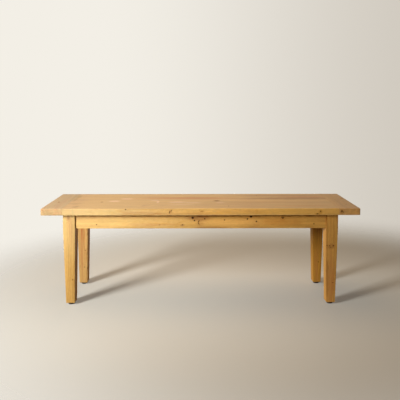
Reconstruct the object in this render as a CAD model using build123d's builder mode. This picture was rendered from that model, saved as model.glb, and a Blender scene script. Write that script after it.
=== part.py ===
from build123d import *
import os

# Dining bench of solid pine with tapered legs.
# Lengths are in millimetres. +Z is up, +X runs along the seat and the front faces -Y.
# The origin is on the floor, under the middle of the seat.

# Driving dimensions: the seat
seat_length = 1500.0
seat_width = 350.0
seat_height = 473.0
seat_thickness = 33.0
end_board_width = 100.0
front_board_width = 116.0
rear_board_width = 115.0
seat_arris_radius = 2.5

# Driving dimensions: the legs
end_overhang = 96.5
side_overhang = 24.0
leg_width = 58.0
foot_width = 43.0
leg_arris_radius = 3.0
foot_chamfer = 2.0
taper_drop = 4.0

# Driving dimensions: the rails
rail_height = 70.0
rail_thickness = 25.0
rail_setback = 6.0
rail_arris_radius = 2.0

# The joints between rails and legs
tenon_thickness = 10.0
haunch_height = 14.0
haunch_length = 10.0
tenon_bottom_shoulder = 8.0
mitre_clearance = 1.0
joint_clearance = 0.2

# The joints between the long boards and the end boards
tongue_thickness = 10.0
tongue_length = 10.0
tongue_stop = 18.0
board_tenon_width = 50.0
board_tenon_length = 55.0
peg_diameter = 8.0
peg_length = 24.0
peg_inset = 26.0
peg_slot_length = 5.0
fastener_clearance = 0.05

# The biscuits in the joints between the long boards
biscuit_length = 56.0
biscuit_width = 23.0
biscuit_thickness = 4.0
biscuit_nose_width = 4.0
biscuit_end_inset = 90.0
biscuit_count = 6

# The corner blocks
block_reach = 60.0
block_nose = 6.0
block_height = 50.0
block_drop = 3.0
block_screw_inset = 30.0

# The centre rail
centre_rail_height = 45.0
centre_rail_thickness = 25.0
centre_tenon_length = 10.0
centre_tenon_height = 25.0
centre_tenon_thickness = 12.0
centre_screw_spacing = 60.0
centre_screw_counterbore = 10.0

# The turn buttons and the slots in the rails that hold their tongues
button_body_length = 34.0
button_width = 30.0
button_tongue_length = 9.0
button_tongue_thickness = 8.0
button_clearance = 1.0
button_chamfer = 3.0
button_slot_drop = 12.0
button_slot_depth = 11.0
button_slot_side_clearance = 4.0
button_slot_clearance = 1.0
long_rail_button_shares = [-0.74, -0.27, 0.27, 0.74]

# The wood screws
screw_shank_radius = 2.0
screw_head_radius = 4.0
screw_point_length = 5.0
screw_sink = 1.0
button_screw_length = 38.0
block_screw_length = 45.0
centre_screw_length = 50.0
countersink_angle = 90.0

# The glides and their nails
glide_height = 9.0
glide_diameter = 30.0
glide_rim_chamfer = 2.0
nail_length = 20.0
nail_radius = 1.2
nail_point_length = 3.0
nail_head_radius = 4.5
nail_head_thickness = 1.2
nail_head_cover = 2.0

# Levels and places that several pieces share
underside = seat_height - seat_thickness
seat_middle = seat_height - seat_thickness / 2
rail_bottom = underside - rail_height
leg_out_x = seat_length / 2 - end_overhang
leg_out_y = seat_width / 2 - side_overhang
leg_in_x = leg_out_x - leg_width
leg_in_y = leg_out_y - leg_width
leg_centre = (leg_width / 2 - leg_out_x, leg_width / 2 - leg_out_y)
rail_inner_x = leg_out_x - rail_setback - rail_thickness
rail_inner_y = leg_out_y - rail_setback - rail_thickness

os.makedirs("parts", exist_ok=True)


def save(part, name):
    """Labels a finished piece and writes it to its own file."""
    part.label = name
    export_step(part, "parts/" + name + ".step")


def level(height):
    """The horizontal plane at a height above the floor."""
    return Plane.XY.offset(height)


def mirrored(piece, planes):
    """A copy of a piece, mirrored about each plane in turn."""
    with BuildPart() as copy:
        add(piece)
        for plane in planes:
            mirror(about=plane, mode=Mode.REPLACE)
    return copy.part


# The planes that turn a front left piece into the same piece at each corner
corners = {
    "front_left": [],
    "front_right": [Plane.YZ],
    "rear_left": [Plane.XZ],
    "rear_right": [Plane.YZ, Plane.XZ],
}

# Where the turn buttons sit: a frame at the inner face of a rail, level with the seat's
# underside, whose +X points away from the rail
button_frames = []
for side in (-1, 1):
    button_frames.append(Location((side * rail_inner_x, 0, underside), (0, 0, 90 + side * 90)))
    for share in long_rail_button_shares:
        place = (share * leg_in_x, side * rail_inner_y, underside)
        button_frames.append(Location(place, (0, 0, -side * 90)))

# Where the wood screws sit: a frame at the top of each head, whose -Z points along the shank
button_thickness = button_slot_drop + button_tongue_thickness
button_screw_place = (button_clearance + button_body_length / 2, 0, screw_sink - button_thickness)
button_screw_frames = [frame * Location(button_screw_place, (180, 0, 0)) for frame in button_frames]

centre_screw_level = underside - centre_rail_height + centre_screw_counterbore
centre_screw_frames = []
for side in (-1, 1):
    place = (0, side * centre_screw_spacing / 2, centre_screw_level)
    centre_screw_frames.append(Location(place, (180, 0, 0)))

# A corner block's long face runs at 45 degrees: there the distances from the two outer
# faces of the leg add up to block_face_sum. The screw heads are sunk below that face.
block_tip = leg_width + block_reach
block_heel = rail_setback + rail_thickness
block_face_sum = block_tip + block_heel + block_nose
block_level = underside - block_drop - block_height
block_screw_along = leg_width + block_screw_inset
block_screw_head = block_face_sum - block_screw_along - screw_head_radius - screw_sink
block_screw_frames = []
for x_side in (-1, 1):
    for y_side in (-1, 1):
        screw_level = block_level + block_height / 2
        along_x = x_side * (leg_out_x - block_screw_along)
        along_y = y_side * (leg_out_y - block_screw_along)
        head_x = x_side * (leg_out_x - block_screw_head)
        head_y = y_side * (leg_out_y - block_screw_head)
        block_screw_frames.append(Location((along_x, head_y, screw_level), (y_side * 90, 0, 0)))
        block_screw_frames.append(Location((head_x, along_y, screw_level), (0, -x_side * 90, 0)))


def bore_for_screws(frames, length):
    """Cuts the countersunk holes for the screws at these frames, open above their heads."""
    with Locations(*frames):
        CounterSinkHole(
            radius=screw_shank_radius + fastener_clearance,
            counter_sink_radius=screw_head_radius + fastener_clearance,
            depth=length + fastener_clearance,
            counter_sink_angle=countersink_angle,
        )


# Long boards of the seat
# Three boards are glued edge to edge. Each ends in a tongue, stopped short of the seat's
# edge, and in one tenon that runs further into the end board. The peg holes of the outer
# tenons are slots, so that the boards can shrink and swell across their width.

shoulder_x = seat_length / 2 - end_board_width
front_seam_y = front_board_width - seat_width / 2
rear_seam_y = seat_width / 2 - rear_board_width
board_edges = {
    "front": (-seat_width / 2, front_seam_y),
    "middle": (front_seam_y, rear_seam_y),
    "rear": (rear_seam_y, seat_width / 2),
}
board_middles = {name: (low + high) / 2 for name, (low, high) in board_edges.items()}
peg_x = shoulder_x + peg_inset
peg_hole = peg_diameter + 2 * fastener_clearance

biscuit_reach = shoulder_x - biscuit_end_inset
biscuit_pitch = 2 * biscuit_reach / (biscuit_count - 1)
biscuit_row = [i * biscuit_pitch - biscuit_reach for i in range(biscuit_count)]
biscuit_places = [(x, y) for y in (front_seam_y, rear_seam_y) for x in biscuit_row]


def biscuit_shape(clearance):
    """The outline of a biscuit, two shallow arcs between blunt noses, grown by a clearance."""
    half_length = biscuit_length / 2 + clearance
    half_width = biscuit_width / 2 + clearance
    half_nose = biscuit_nose_width / 2 + clearance
    with BuildSketch() as shape:
        with BuildLine():
            ThreePointArc((-half_length, half_nose), (0, half_width), (half_length, half_nose))
            Line((half_length, half_nose), (half_length, -half_nose))
            ThreePointArc((half_length, -half_nose), (0, -half_width), (-half_length, -half_nose))
            Line((-half_length, -half_nose), (-half_length, half_nose))
        make_face()
    return shape.sketch


def make_long_board(name):
    """One long board of the seat, with its tongues, tenons, biscuit slots and screw holes."""
    low, high = board_edges[name]
    middle = board_middles[name]
    tongue_low = low + tongue_stop if name == "front" else low
    tongue_high = high - tongue_stop if name == "rear" else high
    with BuildPart() as board:
        with BuildSketch(level(underside)):
            with Locations((0, middle)):
                Rectangle(2 * shoulder_x, high - low)
        extrude(amount=seat_thickness)
        if name == "front":
            fillet(board.edges().filter_by(Axis.X).group_by(Axis.Y)[0], seat_arris_radius)
        if name == "rear":
            fillet(board.edges().filter_by(Axis.X).group_by(Axis.Y)[-1], seat_arris_radius)
        with BuildSketch(level(seat_middle)):
            with Locations((0, (tongue_low + tongue_high) / 2)):
                Rectangle(2 * (shoulder_x + tongue_length), tongue_high - tongue_low)
            with Locations((0, middle)):
                Rectangle(2 * (shoulder_x + board_tenon_length), board_tenon_width)
        extrude(amount=tongue_thickness / 2, both=True)
        with BuildSketch(level(seat_middle)):
            with Locations((-peg_x, middle), (peg_x, middle)):
                if name == "middle":
                    Circle(peg_hole / 2)
                else:
                    SlotCenterToCenter(peg_slot_length, peg_hole, rotation=90)
        extrude(amount=tongue_thickness, both=True, mode=Mode.SUBTRACT)
        with BuildSketch(level(seat_middle)):
            with Locations(*[place for place in biscuit_places if place[1] in (low, high)]):
                add(biscuit_shape(joint_clearance))
        extrude(amount=biscuit_thickness / 2 + joint_clearance, both=True, mode=Mode.SUBTRACT)
        bore_for_screws(button_screw_frames, button_screw_length)
        bore_for_screws(centre_screw_frames, centre_screw_length)
    return board.part


for name in board_edges:
    save(make_long_board(name), "seat_board_" + name)

# End boards of the seat
# They cover the end grain of the long boards and keep the seat flat. A stopped groove takes
# the tongues, and three mortises at its bottom take the tenons.

with BuildPart() as end_board_left:
    with BuildSketch(level(underside)):
        with Locations((-shoulder_x - end_board_width / 2, 0)):
            Rectangle(end_board_width, seat_width)
    extrude(amount=seat_thickness)
    edge_groups = end_board_left.edges().group_by(Axis.X)
    fillet(edge_groups[0] + edge_groups[1], seat_arris_radius)
    with BuildSketch(level(seat_middle)):
        groove_length = seat_width - 2 * (tongue_stop - joint_clearance)
        mortise_width = board_tenon_width + 2 * joint_clearance
        with Locations((-shoulder_x, 0)):
            Rectangle(2 * (tongue_length + joint_clearance), groove_length)
        with Locations(*[(-shoulder_x, middle) for middle in board_middles.values()]):
            Rectangle(2 * (board_tenon_length + joint_clearance), mortise_width)
    extrude(amount=tongue_thickness / 2 + joint_clearance, both=True, mode=Mode.SUBTRACT)
    with BuildSketch(level(underside)):
        with Locations(*[(-peg_x, middle) for middle in board_middles.values()]):
            Circle(peg_hole / 2)
    extrude(amount=peg_length + fastener_clearance, mode=Mode.SUBTRACT)

save(end_board_left.part, "end_board_left")
save(mirrored(end_board_left.part, [Plane.YZ]), "end_board_right")

# Pegs
# Dowels driven in from below, through the tenons. They stop short of the seat's top.

with BuildPart() as end_board_pegs:
    with BuildSketch(level(underside)):
        for middle in board_middles.values():
            with Locations((-peg_x, middle), (peg_x, middle)):
                Circle(peg_diameter / 2)
    extrude(amount=peg_length)

save(end_board_pegs.part, "end_board_pegs")

# Biscuits
# Pressed wood plates glued into slots on both sides of each seam.

with BuildPart() as seat_biscuits:
    with BuildSketch(level(seat_middle)):
        with Locations(*biscuit_places):
            add(biscuit_shape(0))
    extrude(amount=biscuit_thickness / 2, both=True)

save(seat_biscuits.part, "seat_biscuits")

# Legs
# Square between the rails and tapered on all four sides below them. The two mortises meet
# inside the leg, and each has a shallow haunch above it that is open at the leg's top.

tenon_inset = rail_setback + rail_thickness / 2
tenon_top = underside - haunch_height
tenon_bottom = rail_bottom + tenon_bottom_shoulder
nail_top = nail_head_cover + nail_length

with BuildPart() as leg_front_left:
    with BuildSketch(level(glide_height)):
        with Locations(leg_centre):
            sole_width = foot_width - 2 * foot_chamfer
            RectangleRounded(sole_width, sole_width, leg_arris_radius)
    with BuildSketch(level(glide_height + foot_chamfer)):
        with Locations(leg_centre):
            RectangleRounded(foot_width, foot_width, leg_arris_radius)
    with BuildSketch(level(rail_bottom - taper_drop)) as taper_start:
        with Locations(leg_centre):
            RectangleRounded(leg_width, leg_width, leg_arris_radius)
    loft(ruled=True)
    extrude(taper_start.sketch, amount=rail_height + taper_drop)
    slot_width = tenon_thickness + 2 * joint_clearance
    mortise_depth = leg_width - tenon_inset + tenon_thickness / 2 + joint_clearance
    haunch_depth = haunch_length + joint_clearance
    with BuildSketch(level(tenon_bottom - joint_clearance)):
        with Locations((mortise_depth / 2 - leg_in_x - mortise_depth, tenon_inset - leg_out_y)):
            Rectangle(mortise_depth, slot_width)
        with Locations((tenon_inset - leg_out_x, mortise_depth / 2 - leg_in_y - mortise_depth)):
            Rectangle(slot_width, mortise_depth)
    extrude(amount=tenon_top - tenon_bottom + 2 * joint_clearance, mode=Mode.SUBTRACT)
    with BuildSketch(level(tenon_top)):
        with Locations((haunch_depth / 2 - leg_in_x - haunch_depth, tenon_inset - leg_out_y)):
            Rectangle(haunch_depth, slot_width)
        with Locations((tenon_inset - leg_out_x, haunch_depth / 2 - leg_in_y - haunch_depth)):
            Rectangle(slot_width, haunch_depth)
    extrude(amount=haunch_height, mode=Mode.SUBTRACT)
    with BuildSketch(level(glide_height)):
        with Locations(leg_centre):
            Circle(nail_radius + fastener_clearance)
    extrude(amount=nail_top - glide_height + fastener_clearance, mode=Mode.SUBTRACT)

for corner, planes in corners.items():
    save(mirrored(leg_front_left.part, planes), "leg_" + corner)

# Rails
# Each rail is drawn as the front one and turned to its side of the bench. Its tenons are
# mitred where they meet the next rail's, and a haunch keeps each rail from twisting.

rails = {
    "front": (0, leg_in_x, leg_out_x, leg_out_y),
    "right": (90, leg_in_y, leg_out_y, leg_out_x),
    "rear": (180, leg_in_x, leg_out_x, leg_out_y),
    "left": (-90, leg_in_y, leg_out_y, leg_out_x),
}


def make_rail(turn, shoulder, reach, out):
    """A rail whose shoulders are at +-shoulder, between legs whose outer faces are at
    +-reach along the rail and at a distance out across it."""
    tenon_outer = tenon_inset - tenon_thickness / 2
    tenon_inner = tenon_inset + tenon_thickness / 2
    outer_end = reach - tenon_outer - mitre_clearance
    inner_end = reach - tenon_inner - mitre_clearance
    with BuildPart() as rail:
        with BuildSketch(level(rail_bottom).rotated((0, 0, turn))):
            with Locations((0, tenon_inset - out)):
                Rectangle(2 * shoulder, rail_thickness)
        extrude(amount=rail_height)
        bottom_edges = rail.edges().group_by(Axis.Z)[0].sort_by(SortBy.LENGTH)
        fillet(bottom_edges[-2:], rail_arris_radius)
        with BuildSketch(level(tenon_bottom).rotated((0, 0, turn))):
            with BuildLine():
                Polyline(
                    (-outer_end, tenon_outer - out),
                    (outer_end, tenon_outer - out),
                    (inner_end, tenon_inner - out),
                    (-inner_end, tenon_inner - out),
                    close=True,
                )
            make_face()
        extrude(amount=tenon_top - tenon_bottom)
        with BuildSketch(level(tenon_top).rotated((0, 0, turn))):
            with Locations((0, tenon_inset - out)):
                Rectangle(2 * (shoulder + haunch_length), tenon_thickness)
        extrude(amount=haunch_height)
        cut_button_slots()
        cut_centre_mortises()
        bore_for_screws(block_screw_frames, block_screw_length)
    return rail.part


def cut_button_slots():
    """Cuts the slots in the rails' inner faces that hold the turn buttons' tongues."""
    slot_top = Location((0, 0, -button_slot_drop))
    with Locations(*[frame * slot_top for frame in button_frames]):
        Box(
            2 * button_slot_depth,
            button_width + 2 * button_slot_side_clearance,
            button_tongue_thickness + button_slot_clearance,
            align=(Align.CENTER, Align.CENTER, Align.MAX),
            mode=Mode.SUBTRACT,
        )


def cut_centre_mortises():
    """Cuts the mortises for the centre rail's tenons into the long rails."""
    mortise_level = underside - centre_rail_height / 2
    with Locations((0, -rail_inner_y, mortise_level), (0, rail_inner_y, mortise_level)):
        Box(
            centre_tenon_thickness + 2 * joint_clearance,
            2 * (centre_tenon_length + joint_clearance),
            centre_tenon_height + 2 * joint_clearance,
            mode=Mode.SUBTRACT,
        )


for side, (turn, shoulder, reach, out) in rails.items():
    save(make_rail(turn, shoulder, reach, out), "rail_" + side)

# Centre rail
# It stops the long rails from bowing and holds the middle of the seat. Two screws go up
# through it, near the seat's centre line, so the seat is free to swell to both sides.

with BuildPart() as centre_rail:
    with BuildSketch(level(underside - centre_rail_height)):
        Rectangle(centre_rail_thickness, 2 * rail_inner_y)
    extrude(amount=centre_rail_height)
    with BuildSketch(level(underside - centre_rail_height / 2)):
        Rectangle(centre_tenon_thickness, 2 * (rail_inner_y + centre_tenon_length))
    extrude(amount=centre_tenon_height / 2, both=True)
    bore_for_screws(centre_screw_frames, centre_screw_length)

save(centre_rail.part, "centre_rail")

# Corner blocks
# Five-sided blocks glued into the corners behind the legs and screwed to both rails.

with BuildPart() as corner_block_front_left:
    with BuildSketch(Plane((-leg_out_x, -leg_out_y, block_level))):
        with BuildLine():
            Polyline(
                (leg_width, leg_width),
                (leg_width, block_heel),
                (block_tip, block_heel),
                (block_tip, block_heel + block_nose),
                (block_heel + block_nose, block_tip),
                (block_heel, block_tip),
                (block_heel, leg_width),
                close=True,
            )
        make_face()
    extrude(amount=block_height)
    bore_for_screws(block_screw_frames, block_screw_length)

for corner, planes in corners.items():
    save(mirrored(corner_block_front_left.part, planes), "corner_block_" + corner)

# Turn buttons
# Small hardwood blocks screwed up into the seat. The tongue of each pulls on the top of its
# slot in the rail and can slide along it when the seat moves.

with BuildPart() as seat_button:
    with BuildSketch(Plane.XZ):
        with BuildLine():
            Polyline(
                (button_clearance, 0),
                (button_clearance + button_body_length, 0),
                (button_clearance + button_body_length, -button_thickness),
                (button_clearance - button_tongue_length, -button_thickness),
                (button_clearance - button_tongue_length, -button_slot_drop),
                (button_clearance, -button_slot_drop),
                close=True,
            )
        make_face()
    extrude(amount=button_width / 2, both=True)
    outer_end = seat_button.faces().sort_by(Axis.X)[-1]
    chamfer(outer_end.edges().sort_by(Axis.Z)[0], button_chamfer)
    with Locations(Location(button_screw_place, (180, 0, 0))):
        CounterSinkHole(
            radius=screw_shank_radius + fastener_clearance,
            counter_sink_radius=screw_head_radius + fastener_clearance,
            depth=button_screw_length,
            counter_sink_angle=countersink_angle,
        )

with BuildPart() as seat_buttons:
    with Locations(*button_frames):
        add(seat_button.part)

save(seat_buttons.part, "seat_buttons")

# Wood screws
# Countersunk screws in the buttons, the corner blocks and the centre rail.


def make_screws(frames, length):
    """All the wood screws of one length, each a solid of its own."""
    with BuildPart() as screw:
        with BuildSketch(Plane.XZ):
            with BuildLine():
                Polyline(
                    (0, 0),
                    (screw_head_radius, 0),
                    (screw_shank_radius, screw_shank_radius - screw_head_radius),
                    (screw_shank_radius, screw_point_length - length),
                    (0, -length),
                    close=True,
                )
            make_face()
        revolve(axis=Axis.Z)
    with BuildPart() as screws:
        with Locations(*frames):
            add(screw.part)
    return screws.part


save(make_screws(button_screw_frames, button_screw_length), "seat_button_screws")
save(make_screws(block_screw_frames, block_screw_length), "corner_block_screws")
save(make_screws(centre_screw_frames, centre_screw_length), "centre_rail_screws")

# Glides
# Dark plastic discs under the feet, each moulded round the head of the nail that holds it.


def nail_profile(clearance):
    """Half the section of a glide's nail, head down, grown by a clearance."""
    head = nail_head_radius + clearance
    shank = nail_radius + clearance
    with BuildSketch(Plane.XZ) as profile:
        with BuildLine():
            Polyline(
                (0, nail_head_cover - clearance),
                (head, nail_head_cover - clearance),
                (head, nail_head_cover + nail_head_thickness + clearance),
                (shank, nail_head_cover + nail_head_thickness + clearance),
                (shank, nail_top - nail_point_length + clearance),
                (0, nail_top + clearance),
                close=True,
            )
        make_face()
    return profile.sketch


with BuildPart() as nail:
    add(nail_profile(0))
    revolve(axis=Axis.Z)

with BuildPart() as glide:
    with BuildSketch():
        Circle(glide_diameter / 2)
    extrude(amount=glide_height)
    chamfer(glide.faces().sort_by(Axis.Z)[0].edges(), glide_rim_chamfer)
    add(nail_profile(fastener_clearance))
    revolve(axis=Axis.Z, mode=Mode.SUBTRACT)

with BuildPart() as glide_front_left:
    with Locations(leg_centre):
        add(glide.part)

for corner, planes in corners.items():
    save(mirrored(glide_front_left.part, planes), "glide_" + corner)

with BuildPart() as glide_nails:
    with GridLocations(2 * leg_centre[0], 2 * leg_centre[1], 2, 2):
        add(nail.part)

save(glide_nails.part, "glide_nails")
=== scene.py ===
import bmesh
import bpy
import math
from mathutils import Euler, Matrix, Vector


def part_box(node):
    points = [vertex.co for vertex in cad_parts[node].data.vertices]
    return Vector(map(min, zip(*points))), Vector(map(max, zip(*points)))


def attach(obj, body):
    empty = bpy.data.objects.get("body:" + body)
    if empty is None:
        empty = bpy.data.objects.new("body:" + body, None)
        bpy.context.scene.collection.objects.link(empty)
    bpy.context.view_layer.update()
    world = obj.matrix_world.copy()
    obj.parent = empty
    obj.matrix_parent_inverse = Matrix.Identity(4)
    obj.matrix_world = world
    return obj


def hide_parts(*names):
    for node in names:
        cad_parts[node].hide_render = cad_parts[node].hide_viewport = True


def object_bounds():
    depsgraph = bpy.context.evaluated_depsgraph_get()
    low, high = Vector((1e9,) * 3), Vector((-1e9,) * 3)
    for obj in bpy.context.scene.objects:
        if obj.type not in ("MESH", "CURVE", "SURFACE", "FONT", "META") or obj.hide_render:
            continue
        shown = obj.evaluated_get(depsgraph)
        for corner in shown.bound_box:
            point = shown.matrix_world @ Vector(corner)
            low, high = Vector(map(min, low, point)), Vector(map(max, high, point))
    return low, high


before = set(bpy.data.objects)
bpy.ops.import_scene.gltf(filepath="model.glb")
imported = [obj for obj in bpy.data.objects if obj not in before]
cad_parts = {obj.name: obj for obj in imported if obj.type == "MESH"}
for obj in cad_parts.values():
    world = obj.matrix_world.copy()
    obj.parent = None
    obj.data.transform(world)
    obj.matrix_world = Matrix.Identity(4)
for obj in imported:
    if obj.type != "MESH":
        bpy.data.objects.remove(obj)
cad_low, cad_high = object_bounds()

# Camera
# It stands where the photograph was taken from: in front of the bench, a little left of its
# middle and just under a metre above the floor. Its shift frames the bench as the photograph
# does, and keeps the legs upright.
photo_size = 400
focal_pixels = 440.87
level_row = 126.94
camera_place = (-0.0173, -2.2174, 0.9524)
camera_degrees = (87.284, 0.006, -0.378)

camera_data = bpy.data.cameras.new("camera")
camera_data.lens = camera_data.sensor_width * focal_pixels / photo_size
camera_data.shift_y = (level_row - photo_size / 2) / photo_size
camera = bpy.data.objects.new("camera", camera_data)
camera.location = camera_place
camera.rotation_euler = [math.radians(angle) for angle in camera_degrees]
bpy.context.scene.collection.objects.link(camera)
bpy.context.scene.camera = camera
bpy.context.scene.view_settings.view_transform = "Standard"

# Studio floor and surroundings
# A plain pale floor that keeps the bench's shadow and fades, well away from the bench, into
# the pale tone behind it. That tone is brighter on the left, where the main light is.
floor_half_width = 14.0
fade_middle = (0.42, 0.1, 0)
fade_start = 0.8
fade_end = 2.2
fade_least = 0.15
fade_depth_share = 1.3


def colour(code):
    """An sRGB hex colour as the linear colour that a shader takes."""
    shares = [int(code[place:place + 2], 16) / 255 for place in (1, 3, 5)]
    return [s / 12.92 if s <= 0.04045 else ((s + 0.055) / 1.055) ** 2.4 for s in shares] + [1.0]


def add_node(tree, kind, settings=(), inputs=()):
    """Adds a node, sets its properties, and gives each input a value or a link."""
    new = tree.nodes.new(kind)
    for name, value in dict(settings).items():
        setattr(new, name, value)
    for name, value in dict(inputs).items():
        if isinstance(value, bpy.types.Node):
            value = value.outputs[0]
        if isinstance(value, bpy.types.NodeSocket):
            tree.links.new(value, new.inputs[name])
        else:
            new.inputs[name].default_value = value
    return new


def start_material(name):
    """A new material and its node tree, which is empty."""
    material = bpy.data.materials.new(name)
    material.use_nodes = True
    material.node_tree.nodes.clear()
    return material, material.node_tree


def lay_over(tree, under, share, over):
    """A colour with another laid over it by a share."""
    mix = add_node(
        tree,
        "ShaderNodeMix",
        {"data_type": "RGBA"},
        {"Factor": share, "A": under, "B": over},
    )
    return mix.outputs["Result"]


bpy.ops.object.select_all(action="DESELECT")
bpy.ops.mesh.primitive_plane_add(size=2 * floor_half_width)
floor = bpy.context.object
floor.name = "studio_floor"

# Matt painted floor: no sheen, so that it shows only the light and the shadow.
floor_paint, tree = start_material("matt_floor_paint")
place = add_node(tree, "ShaderNodeTexCoord").outputs["Object"]
place = add_node(
    tree, "ShaderNodeVectorMath", {"operation": "SUBTRACT"}, {0: place, 1: fade_middle}
)
place = add_node(
    tree,
    "ShaderNodeVectorMath",
    {"operation": "MULTIPLY"},
    {0: place, 1: (1, fade_depth_share, 1)},
)
distance = add_node(tree, "ShaderNodeVectorMath", {"operation": "LENGTH"}, {0: place})
fade = add_node(
    tree,
    "ShaderNodeMapRange",
    {"interpolation_type": "SMOOTHERSTEP"},
    {
        "Value": distance.outputs["Value"],
        "From Min": fade_start,
        "From Max": fade_end,
        "To Min": fade_least,
    },
)
paint = add_node(tree, "ShaderNodeBsdfDiffuse", inputs={"Color": colour("#ceccc2")})
clear = add_node(tree, "ShaderNodeBsdfTransparent")
faded = add_node(tree, "ShaderNodeMixShader", inputs={0: fade, 1: paint, 2: clear})
add_node(tree, "ShaderNodeOutputMaterial", inputs={"Surface": faded})
floor.data.materials.append(floor_paint)

# The surroundings are pale, a little darker towards the right. What the camera sees, what
# lights the bench and what its wax reflects are set apart, so that they don't flood it.
world = bpy.data.worlds.new("pale_surroundings")
world.use_nodes = True
bpy.context.scene.world = world
tree = world.node_tree
tree.nodes.clear()
direction = add_node(tree, "ShaderNodeTexCoord").outputs["Generated"]
towards = add_node(tree, "ShaderNodeSeparateXYZ", inputs={"Vector": direction})
rightward = add_node(
    tree,
    "ShaderNodeMapRange",
    {"interpolation_type": "SMOOTHSTEP"},
    {"Value": towards.outputs["X"], "From Min": -0.25, "From Max": 0.6},
)
pale_tone = lay_over(tree, colour("#f3efe6"), rightward, colour("#ccc5ba"))
seen = add_node(tree, "ShaderNodeBackground", inputs={"Color": pale_tone})
lighting = add_node(
    tree,
    "ShaderNodeBackground",
    inputs={"Color": colour("#ffe6c4"), "Strength": 0.07},
)
# What shines shows less of the surroundings near the floor, where they are darker.
glint = add_node(
    tree,
    "ShaderNodeMapRange",
    inputs={
        "Value": towards.outputs["Z"],
        "From Min": -0.05,
        "From Max": 0.3,
        "To Min": 0.15,
        "To Max": 1.0,
    },
)
reflected = add_node(
    tree,
    "ShaderNodeBackground",
    inputs={"Color": pale_tone, "Strength": glint},
)
ray = add_node(tree, "ShaderNodeLightPath").outputs
surroundings = add_node(
    tree, "ShaderNodeMixShader", inputs={0: ray["Is Glossy Ray"], 1: lighting, 2: reflected}
)
surroundings = add_node(
    tree, "ShaderNodeMixShader", inputs={0: ray["Is Camera Ray"], 1: surroundings, 2: seen}
)
add_node(tree, "ShaderNodeOutputWorld", inputs={"Surface": surroundings})

# Lamps
# A large soft lamp stands low at the front left, as a window would. A warm one hangs above the
# seat, and a faint one behind the bench keeps its back from going dark.


def add_softbox(name, place, target, width, height, spread, power, tint):
    """A rectangular lamp at a place, turned to a target, whose light spreads by an angle."""
    lamp_data = bpy.data.lights.new(name, "AREA")
    lamp_data.shape = "RECTANGLE"
    lamp_data.size = width
    lamp_data.size_y = height
    lamp_data.spread = math.radians(spread)
    lamp_data.energy = power
    lamp_data.color = colour(tint)[:3]
    lamp = bpy.data.objects.new(name, lamp_data)
    lamp.location = place
    lamp.rotation_euler = (Vector(target) - Vector(place)).to_track_quat("-Z", "Y").to_euler()
    lamp.visible_camera = False
    bpy.context.scene.collection.objects.link(lamp)


add_softbox(
    "window_light",
    place=(-2.08, -1.54, 1.26),
    target=(-0.35, -0.05, 0.5),
    width=0.6,
    height=0.98,
    spread=62,
    power=16.2,
    tint="#fffefd",
)
add_softbox(
    "overhead_light",
    place=(-0.30, 0.35, 2.30),
    target=(0.0, 0.0, 0.45),
    width=1.8,
    height=1.8,
    spread=180,
    power=21.0,
    tint="#ffd8aa",
)
add_softbox(
    "rear_light",
    place=(0.30, 2.40, 0.26),
    target=(0.0, 0.15, 0.30),
    width=2.0,
    height=0.4,
    spread=70,
    power=5.0,
    tint="#ffecd6",
)

# Seat boards
# Three long pine boards, planed, glued edge to edge and finished with a honey-coloured wax.
# Their top and bottom arrises are eased along the front and the back of the seat.
mm = 0.001
tiny = 0.01 * mm
seat_arris = 2.5 * mm
seam_arris = 0.35 * mm
arris_steps = 3
seat_hollow = 0.35 * mm
seat_arris_loss = 0.7 * mm
hollow_spread = 90 * mm
arris_wear_spread = 16 * mm
wear_step = 11 * mm
flaw_roughness = 0.25 * mm
# The noise stays under 1, so at this level wear only takes wood away.
wear_level = 1.25
# An edge runs along an axis when this share of its length does.
along = 0.95
sharp_corner = math.radians(50)
smooth_corner = math.radians(35)
quarter_turn = math.pi / 2


def start_block(name, low, high):
    """A block between two corners, open in edit mode with nothing selected."""
    bpy.ops.object.select_all(action="DESELECT")
    bpy.ops.mesh.primitive_cube_add(size=1, location=(low + high) / 2, scale=high - low)
    bpy.ops.object.transform_apply()
    block = bpy.context.object
    block.name = name
    block.data.name = name
    bpy.ops.object.mode_set(mode="EDIT")
    bpy.ops.mesh.select_mode(type="EDGE")
    bpy.ops.mesh.select_all(action="DESELECT")
    return block


def pick_edges(block, wanted, sharpness=sharp_corner):
    """Selects only the edges so sharp, or sharper, that wanted(middle, direction) picks."""
    bpy.ops.mesh.select_all(action="DESELECT")
    shape = bmesh.from_edit_mesh(block.data)
    for edge in shape.edges:
        start, end = [vertex.co for vertex in edge.verts]
        sharp = edge.calc_face_angle() > sharpness - tiny
        if sharp and wanted((start + end) / 2, (end - start).normalized()):
            edge.select_set(True)
    shape.select_flush_mode()
    bmesh.update_edit_mesh(block.data)


def round_picked(block, width, worn=True):
    """Rounds the selected edges and, if they wear, puts them in the group of worn arrises."""
    bpy.ops.mesh.bevel(offset=width, segments=arris_steps, affect="EDGES")
    if not block.vertex_groups:
        bpy.ops.object.vertex_group_add()
        block.vertex_groups[0].name = "arrises"
    if worn:
        bpy.ops.object.vertex_group_assign()


def cut_lengths(block, axis, longest):
    """Halves the edges along an axis until none is longer than longest."""
    shape = bmesh.from_edit_mesh(block.data)
    spans = [abs(edge.verts[0].co[axis] - edge.verts[1].co[axis]) for edge in shape.edges]
    for _ in range(math.ceil(math.log2(max(spans) / longest))):
        pick_edges(block, lambda middle, direction: abs(direction[axis]) > along, 0.0)
        bpy.ops.mesh.subdivide(number_cuts=1)


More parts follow.
